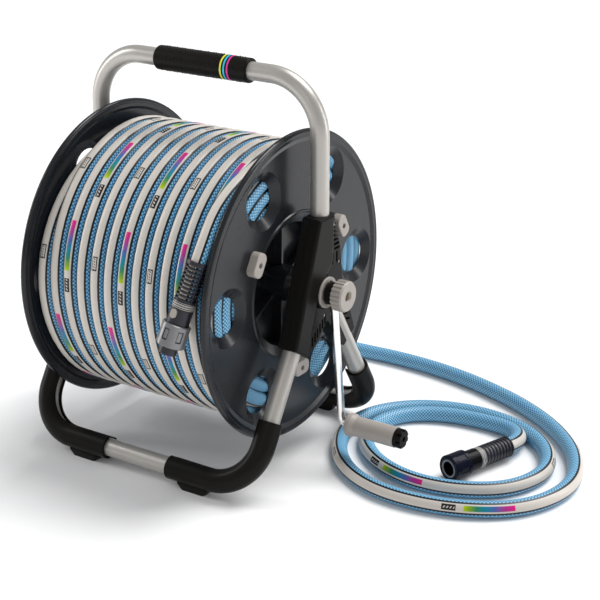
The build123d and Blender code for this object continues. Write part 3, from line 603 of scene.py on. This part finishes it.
class Lathe:
    """Turned and coiled shapes round a coupling's axis; along is measured from the hose's end of it."""

    def __init__(self, start, way):
        self.start = Vector(start)
        self.way = Vector(way).normalized()
        self.out = (self.start - AXLE - X_AXIS * (self.start - AXLE).dot(X_AXIS)).normalized()
        self.out = (self.out - self.way * self.out.dot(self.way)).normalized()
        self.side = self.way.cross(self.out)

    def place(self, along, radius, turn):
        """A point at a distance along the axis, a radius and an angle in radians from the outward side."""
        out = self.out * math.cos(turn) + self.side * math.sin(turn)
        return self.start + self.way * along + out * radius

    def turned(self, profile, sides=64):
        """Vertices and faces of a closed outline, a list of (along, radius), turned round the axis."""
        turns = [2 * math.pi * step / sides for step in range(sides)]
        points = [self.place(along, radius, turn) for turn in turns for along, radius in profile]
        count = len(profile)
        faces = []
        for step in range(sides):
            here, there = step * count, (step + 1) % sides * count
            for index in range(count):
                after = (index + 1) % count
                faces.append((here + index, here + after, there + after, there + index))
        return points, faces

    def rod(self, places, radius, sides=8):
        """Vertices and faces of a round rod along places, a list of (along, radius, turn)."""
        line = [self.place(*place) for place in places]
        points, faces = [], []
        for index, point in enumerate(line):
            ahead = (line[min(index + 1, len(line) - 1)] - line[max(index - 1, 0)]).normalized()
            out = point - self.start
            out = (out - self.way * out.dot(self.way)).normalized()
            out = (out - ahead * out.dot(ahead)).normalized()
            side = ahead.cross(out)
            for step in range(sides):
                turn = 2 * math.pi * step / sides
                points.append(point + (out * math.cos(turn) + side * math.sin(turn)) * radius)
        for index in range(len(line) - 1):
            for step in range(sides):
                here, after = index * sides + step, index * sides + (step + 1) % sides
                faces.append((here, after, after + sides, here + sides))
        faces.append(tuple(reversed(range(sides))))
        faces.append(tuple((len(line) - 1) * sides + step for step in range(sides)))
        return points, faces


def shaped(name, shapes, material, body):
    """One piece made of several shapes, each a pair of vertices and faces."""
    points, faces = [], []
    for more_points, more_faces in shapes:
        faces += [tuple(len(points) + index for index in face) for face in more_faces]
        points += more_points
    mesh = bpy.data.meshes.new(name)
    mesh.from_pydata(points, [], faces)
    tidy = bmesh.new()
    tidy.from_mesh(mesh)
    bmesh.ops.recalc_face_normals(tidy, faces=tidy.faces)
    tidy.to_mesh(mesh)
    tidy.free()
    smooth(mesh)
    mesh.set_sharp_from_angle(angle=math.radians(40.0))
    return link(name, mesh, material, body)


def axis_group():
    """How far a point is along and away from an axis, given its start and direction."""
    if "place_on_axis" in bpy.data.node_groups:
        return bpy.data.node_groups["place_on_axis"]
    inputs = [(label, "NodeSocketVector", None) for label in ("Vector", "Start", "Way")]
    outputs = [("Along", "NodeSocketFloat", None), ("Away", "NodeSocketFloat", None)]
    group, graph, source, result = new_group("place_on_axis", inputs, outputs)
    offset = {0: source.outputs["Vector"], 1: source.outputs["Start"]}
    offset = graph.add("ShaderNodeVectorMath", offset, operation="SUBTRACT").outputs[0]
    pair = {0: offset, 1: source.outputs["Way"]}
    along = graph.add("ShaderNodeVectorMath", pair, operation="DOT_PRODUCT")
    across = graph.add("ShaderNodeVectorMath", pair, operation="CROSS_PRODUCT")
    away = graph.add("ShaderNodeVectorMath", {0: across.outputs[0]}, operation="LENGTH")
    graph.put(result.inputs["Along"], along.outputs["Value"])
    graph.put(result.inputs["Away"], away.outputs["Value"])
    return group


def two_tone_and_painted_shade(name, lathe, first, second, pick, rough=0.26, **more):
    """A plastic whose second colour shows where pick says, from the place along and away from an axis; the
    second colour is print and a grey ring on the couplings, and painted shade on the walls of the nozzle
    collar's windows.
    """
    material, graph, shader = new_material(name, {"Roughness": rough, **more})
    place = graph.add("ShaderNodeTexCoord").outputs["Object"]
    spot = graph.add("ShaderNodeGroup", {"Vector": place}, node_tree=axis_group())
    spot.inputs["Start"].default_value = lathe.start
    spot.inputs["Way"].default_value = lathe.way
    mask = pick(graph, spot.outputs["Along"], spot.outputs["Away"])
    grain = graph.add("ShaderNodeGroup", {"Vector": place}, node_tree=grain_group())
    shade = graph.mix(grain.outputs["Mottle"], tuple(0.9 * part for part in first), first)
    graph.put(shader.inputs["Base Color"], graph.mix(mask, shade, second))
    bump = {"Strength": 0.05, "Distance": BUMP_DEPTH, "Height": grain.outputs["Height"]}
    graph.put(shader.inputs["Normal"], graph.add("ShaderNodeBump", bump).outputs[0])
    return material


def band_print(name, lathe):
    """A pale band with black rings."""
    ring_pitch = 0.0022
    pale, ink = (0.44, 0.43, 0.41), (0.01, 0.01, 0.01)

    def bars(graph, along, away):
        share = graph.math("FRACT", graph.math("DIVIDE", along, ring_pitch))
        return graph.inside(share, 0.55, 0.95, 0.06)

    return two_tone_and_painted_shade(name, lathe, pale, ink, bars, 0.4, **{"Specular IOR Level": 0.3})


def relief_rings(lathe, count, first, last, radius, thick):
    """Separate rings of round wire along a relief."""
    sides = 48
    turns = [2 * math.pi * step / sides for step in range(sides + 1)]
    rings = []
    for ring in range(count):
        along = first + (last - first) * ring / (count - 1)
        rings.append(lathe.rod([(along, radius, turn) for turn in turns], thick))
    return rings


# ------------------------------------------------------------------ finishes of the CAD parts
def dress(names, material):
    """Give CAD nodes a material."""
    for name in names:
        slots = NODES[name].data.materials
        slots.clear()
        slots.append(material)


def bright_metal(name, colour):
    """Plain plated or turned metal."""
    return moulded(name, colour, 0.3, grain=0.05, Metallic=1.0)


def zinc():
    """Zinc plating of the screws and the axle."""
    return bright_metal("zinc", (0.55, 0.55, 0.56))


def silver_paint():
    """Satin silver paint with fine flakes."""
    colour = bpy.context.scene.finish.tube
    return moulded("silver_paint", colour, 0.36, grain=0.05, grain_scale=3000.0, shade=0.03, Metallic=0.55)


def black_moulding():
    """Satin black moulding."""
    colour = bpy.context.scene.finish.black
    return moulded("black_moulding", colour, 0.32, grain=0.10, grain_scale=2400.0, shade=0.15, **DULL)


def drum_moulding():
    """Glossy black moulding of the flanges."""
    colour = bpy.context.scene.finish.drum
    gloss = {"Specular IOR Level": 0.32}
    return moulded("drum_moulding", colour, 0.24, grain=0.03, grain_scale=1600.0, shade=0.10, **gloss)


def grey_moulding():
    """Matte warm grey moulding."""
    colour = bpy.context.scene.finish.grey
    return moulded("grey_moulding", colour, 0.48, grain=0.12, grain_scale=2000.0, shade=0.03)


class REEL_OT_finish_stand(bpy.types.Operator):
    """Finish the tubes, the corner covers, the brackets and the handle"""

    bl_idname = "reel.finish_stand"
    bl_label = "Finish Stand"

    def execute(self, context):
        dress(["handle_tube", "front_leg_tube", "rear_leg_tube"], silver_paint())
        covers = [f"{end}_{side}_corner" for end in ("front", "rear") for side in ("left", "right")]
        shells = [f"{side}_bracket_{face}" for side in ("left", "right") for face in ("outer", "inner")]
        dress(covers + shells + ["handle_grip", "inlet_elbow"], black_moulding())
        dress(["left_bush", "right_bush", "bezel_ring", "inlet_nut"], grey_moulding())
        self.grip_dots()
        dress(["bracket_screws"], zinc())
        dress(["pipe_seals"], moulded("seal_rubber", (0.02, 0.02, 0.02), 0.6))
        dress(["grip_bands"], band_material())
        return {"FINISHED"}

    def grip_dots(self):
        """Rows of small raised dots round the carry handle's grip, on both sides of its coloured rings."""
        low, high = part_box("handle_grip")
        ring_low, ring_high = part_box("grip_bands")
        centre = (low + high) / 2
        grip = Lathe((low.x, centre.y, centre.z), X_AXIS)
        radius = (high.z - low.z) / 2
        pitch, dot = 0.0052, 0.0011              # between columns of dots, and a dot's radius
        first, margin, beside_rings = 0.007, 0.012, 0.003
        rows, sides = 16, 8
        foot, shoulder, crown = -0.0002, 0.0004, 0.0006
        shapes = []
        columns = int((high.x - low.x - margin) / pitch)
        for column in range(columns):
            along = first + column * pitch
            if ring_low.x - beside_rings < low.x + along < ring_high.x + beside_rings:
                continue
            for row in range(rows):
                turn = 2 * math.pi * (row + 0.5 * (column % 2)) / rows
                rims = []
                for share, rise in ((1.0, foot), (0.7, shoulder)):
                    for step in range(sides):
                        swing = 2 * math.pi * step / sides
                        spot = along + dot * share * math.cos(swing)
                        across = dot * share * math.sin(swing) / radius
                        rims.append(grip.place(spot, radius + rise, turn + across))
                rims.append(grip.place(along, radius + crown, turn))
                ring = [(step, (step + 1) % sides) for step in range(sides)]
                faces = [(here, after, sides + after, sides + here) for here, after in ring]
                faces += [(sides + here, sides + after, 2 * sides) for here, after in ring]
                faces.append(tuple(range(sides)))
                shapes.append((rims, faces))
        shaped("grip_dots", shapes, black_moulding(), "frame")


def band_material():
    """Yellow, cyan and magenta rings, told apart by their place along the bar."""
    material, graph, shader = new_material("band_rings", {"Roughness": 0.35})
    low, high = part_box("grip_bands")
    place = graph.add("ShaderNodeTexCoord").outputs["Object"]
    place = graph.add("ShaderNodeSeparateXYZ", {0: place}).outputs[0]
    share = {"Value": place, "From Min": low.x, "From Max": high.x}
    share = graph.add("ShaderNodeMapRange", share).outputs[0]
    colour = graph.mix(graph.math("GREATER_THAN", share, 0.33), (0.80, 0.78, 0.05), (0.02, 0.55, 0.75))
    colour = graph.mix(graph.math("GREATER_THAN", share, 0.66), colour, (0.78, 0.02, 0.32))
    graph.put(shader.inputs["Base Color"], colour)
    return material


class REEL_OT_finish_drum(bpy.types.Operator):
    """Finish the flanges, their clips, the core, the axle and the crank"""

    bl_idname = "reel.finish_drum"
    bl_label = "Finish Drum and Crank"

    def execute(self, context):
        dress(["left_flange", "right_flange", "drum_core"], drum_moulding())
        dress(["left_flange_clips", "right_flange_clips", "crank_grip", "crank_knob"], grey_moulding())
        dress(["left_clip_screws", "right_clip_screws", "drive_axle"], zinc())
        dress(["water_pipe", "knob_insert"], bright_metal("brass", (0.62, 0.42, 0.15)))
        plating = {"grain": 0.01, "shade": 0.01, "rough_spread": 0.02, "Metallic": 1.0}
        dress(["crank_arm"], moulded("chrome", (0.46, 0.46, 0.47), 0.14, **plating))
        dress(["crank_hub", "grip_end_cap"], black_moulding())
        return {"FINISHED"}


class REEL_OT_finish_couplings(bpy.types.Operator):
    """Finish the nozzle and the tap connector"""

    bl_idname = "reel.finish_couplings"
    bl_label = "Finish Couplings"

    def execute(self, context):
        gloss = moulded("coupling_black", (0.003, 0.003, 0.0035), 0.18, grain=0.03, shade=0.1, **DULL)
        navy = moulded("coupling_navy", (0.004, 0.005, 0.014), 0.18, grain=0.03, shade=0.1, **DULL)
        nozzle = Lathe(NOZZLE_START, NOZZLE_WAY)
        feed = Lathe(FEED_START, FEED_WAY)
        self.nozzle_cage(nozzle, gloss)
        self.feed_sleeve(feed, gloss)
        for side, lathe, body in (("nozzle", nozzle, "drum"), ("feed", feed, "frame")):
            inner, outer = BAND_RADII
            band = [(BAND_START, inner), (BAND_START, outer), (BAND_END, outer), (BAND_END, inner)]
            bars = band_print(f"{side}_band_print", lathe)
            shaped(f"{side}_band", [lathe.turned(band)], bars, body)

        def recess(graph, along, away, start, end, radius):
            between = graph.inside(along, start, end, 0.0002)
            return graph.math("MULTIPLY", between, graph.math("LESS_THAN", away, radius))

        # painted shade: the side walls of the collar's window recesses are coloured near black, their floors
        # keep the silver
        def window_wall_shade(graph, along, away):
            cut = recess(graph, along, away, 0.0705, 0.0835, 0.0147)
            floor = recess(graph, along, away, 0.0722, 0.0818, 0.01435)
            return graph.math("SUBTRACT", cut, floor, clamp=True)

        def mouth(graph, along, away):
            return graph.math("GREATER_THAN", along, MOUTH_START)

        # ink here is the painted shade on the collar's window walls; silver, grey and body are the parts'
        # own colours
        silver, grey, ink = (0.23, 0.23, 0.24), (0.22, 0.22, 0.23), (0.005, 0.005, 0.006)
        body = (0.003, 0.003, 0.004)
        dress(["nozzle_collar"], two_tone_and_painted_shade("collar_silver", nozzle, silver, ink, window_wall_shade, 0.3, Metallic=0.45))
        dress(["feed_coupler"], two_tone_and_painted_shade("coupler_mouth", feed, body, grey, mouth, 0.2, **DULL))
        dress(["nozzle_coupler", "nozzle_tip"], gloss)
        dress(["feed_collar"], navy)
        dress(["nozzle_pad"], grey_moulding())
        return {"FINISHED"}

    def nozzle_cage(self, lathe, material):
        """An open cage of rings and spines that the hose shows through, with solid cuffs at its ends."""
        shapes = relief_rings(lathe, 10, 0.0025, 0.0400, 0.01045, 0.00130)
        lip = [(-0.0008, SLEEVE_BORE), (-0.0008, 0.0114), (0.0012, 0.0118), (0.0022, 0.0118)]
        shapes.append(lathe.turned(lip + [(0.0022, SLEEVE_BORE)]))
        cuff = [(0.0412, SLEEVE_BORE), (0.0412, CUFF_RADIUS), (RELIEF_LENGTH, CUFF_RADIUS)]
        shapes.append(lathe.turned(cuff + [(RELIEF_LENGTH, SLEEVE_BORE)]))
        spine_radius, spine_half = 0.0104, 0.0011
        for turn in (-1.25, 1.25, 2.6, -2.6):
            ends = [(0.001, spine_radius, turn), (0.042, spine_radius, turn)]
            shapes.append(lathe.rod(ends, spine_half))
        cage = shaped("nozzle_cage", shapes, material, "drum")
        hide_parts("nozzle_relief")

    def feed_sleeve(self, lathe, material):
        """A closed sleeve with round ribs."""
        shapes = relief_rings(lathe, 9, 0.0016, 0.0395, 0.0107, 0.00125)
        wall = [(0.0, SLEEVE_BORE), (0.0, 0.0106), (RELIEF_LENGTH, 0.0112), (RELIEF_LENGTH, SLEEVE_BORE)]
        shapes.append(lathe.turned(wall))
        sleeve = shaped("feed_sleeve", shapes, material, "frame")
        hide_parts("feed_relief")


# ------------------------------------------------------------------ stage
class REEL_OT_set_stage(bpy.types.Operator):
    """Lay a pale floor, hang soft lights and set up the camera"""

    bl_idname = "reel.set_stage"
    bl_label = "Set Stage"

    def execute(self, context):
        scene = context.scene
        stage = scene.stage
        floor_mesh = bpy.data.meshes.new("floor")
        half = 14.0
        corners = [(-half, -half, 0), (half, -half, 0), (half, half, 0), (-half, half, 0)]
        floor_mesh.from_pydata(corners, [], [(0, 1, 2, 3)])
        floor = bpy.data.objects.new("floor", floor_mesh)
        scene.collection.objects.link(floor)
        floor_mesh.materials.append(
            new_material("pale_floor", {"Roughness": 0.85, "Base Color": stage.floor})[0]
        )

        world = bpy.data.worlds.new("studio")
        world.use_nodes = True
        sky = world.node_tree.nodes["Background"]
        sky.inputs["Color"].default_value = (1.0, 1.0, 1.0, 1.0)
        sky.inputs["Strength"].default_value = 0.42
        scene.world = world

        sun_data = bpy.data.lights.new("top_light", "SUN")
        sun_data.energy = 2.75
        sun_data.angle = math.radians(38.0)
        sun = bpy.data.objects.new("top_light", sun_data)
        falls = Vector((-0.35, -0.75, -1.5))
        sun.rotation_euler = falls.to_track_quat("-Z", "Y").to_euler()
        scene.collection.objects.link(sun)
        lights = [
            ("left_softbox", (-1.7, -0.7, 0.9), 0.16, 1.5, 14.0),
            ("right_softbox", (1.5, 1.0, 0.7), 0.22, 1.2, 8.0),
            ("front_softbox", (0.5, -2.4, 1.5), 0.9, 0.9, 3.0),
        ]
        for name, place, wide, tall, power in lights:
            data = bpy.data.lights.new(name, "AREA")
            data.shape = "RECTANGLE"
            data.size = wide
            data.size_y = tall
            data.energy = power
            lamp = bpy.data.objects.new(name, data)
            scene.collection.objects.link(lamp)
            lamp.location = place
            aim = AXLE - Vector(place)
            lamp.rotation_euler = aim.to_track_quat("-Z", "Y").to_euler()

        camera_data = bpy.data.cameras.new("camera")
        camera_data.lens = stage.lens
        camera_data.sensor_width = 36.0
        camera = bpy.data.objects.new("camera", camera_data)
        camera.location = stage.camera_place
        camera.rotation_euler = stage.camera_turn
        scene.collection.objects.link(camera)
        scene.camera = camera
        scene.view_settings.view_transform = "Standard"
        return {"FINISHED"}


# ------------------------------------------------------------------ panel and registration
class REEL_PT_panel(bpy.types.Panel):
    """Every step of the hose reel, in order"""

    bl_label = "Hose Reel"
    bl_idname = "REEL_PT_panel"
    bl_space_type = "VIEW_3D"
    bl_region_type = "UI"
    bl_category = "Hose Reel"

    def draw(self, context):
        for step in STEPS:
            self.layout.operator(step.bl_idname)
        for group in (context.scene.hose, context.scene.finish, context.scene.stage):
            box = self.layout.box()
            for name in group.__annotations__:
                box.prop(group, name)


STEPS = (
    REEL_OT_set_stage,
    REEL_OT_finish_couplings,
    REEL_OT_wind_hose,
    REEL_OT_lay_feed_hose,
    REEL_OT_finish_stand,
    REEL_OT_finish_drum,
)
CLASSES = (HoseSettings, FinishSettings, StageSettings, *STEPS, REEL_PT_panel)


def register():
    for each in CLASSES:
        bpy.utils.register_class(each)
    bpy.types.Scene.hose = PointerProperty(type=HoseSettings)
    bpy.types.Scene.finish = PointerProperty(type=FinishSettings)
    bpy.types.Scene.stage = PointerProperty(type=StageSettings)


def unregister():
    del bpy.types.Scene.stage
    del bpy.types.Scene.finish
    del bpy.types.Scene.hose
    for each in reversed(CLASSES):
        bpy.utils.unregister_class(each)


def main():
    """Register the add-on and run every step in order."""
    register()
    for step in STEPS:
        area, _, name = step.bl_idname.partition(".")
        getattr(getattr(bpy.ops, area), name)()


if __name__ == "__main__":
    main()
